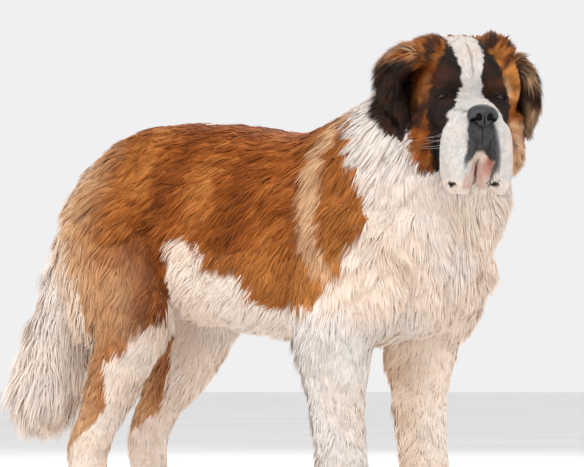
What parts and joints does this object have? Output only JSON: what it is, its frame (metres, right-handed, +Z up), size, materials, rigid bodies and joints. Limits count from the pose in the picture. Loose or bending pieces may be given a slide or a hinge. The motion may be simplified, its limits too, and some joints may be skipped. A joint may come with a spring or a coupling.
{
  "type": "saint bernard dog",
  "caption": "Long-haired Saint Bernard dog standing square with its head turned to its right, drooping ears, hanging flews, deep ruff and plumed tail.",
  "frame": {"origin": "middle of the foot of the bounding box, on the floor between the feet", "axes": "+Z up; the dog faces -Y and its left side is +X, with the head turned towards -X"},
  "size_m": [0.4658, 1.3454, 0.9737],
  "materials": {
    "face_coat": "short matt fur, white muzzle and blaze, black round the eyes",
    "collar_coat": "long matt fur, white with cream",
    "body_coat": "long matt fur, rust brown over white",
    "tail_coat": "long silky fur, white with tan at the root",
    "ear_coat": "soft fur, black with rust at the root",
    "leg_coat": "feathered white fur",
    "thigh_coat": "feathered fur, rust above and white below",
    "eye": "wet and glossy, dark brown"
  },
  "bodies": {
    "root": {"ear_left": "ear_coat", "ear_right": "ear_coat", "eye_left": "eye", "eye_right": "eye", "foot_hind_left": "leg_coat", "foot_hind_right": "leg_coat", "head": "face_coat", "leg_front_left": "leg_coat", "leg_front_right": "leg_coat", "leg_hind_left": "thigh_coat", "leg_hind_right": "thigh_coat", "neck": "collar_coat", "tail": "tail_coat", "torso": "body_coat"}
  },
  "joints": []
}
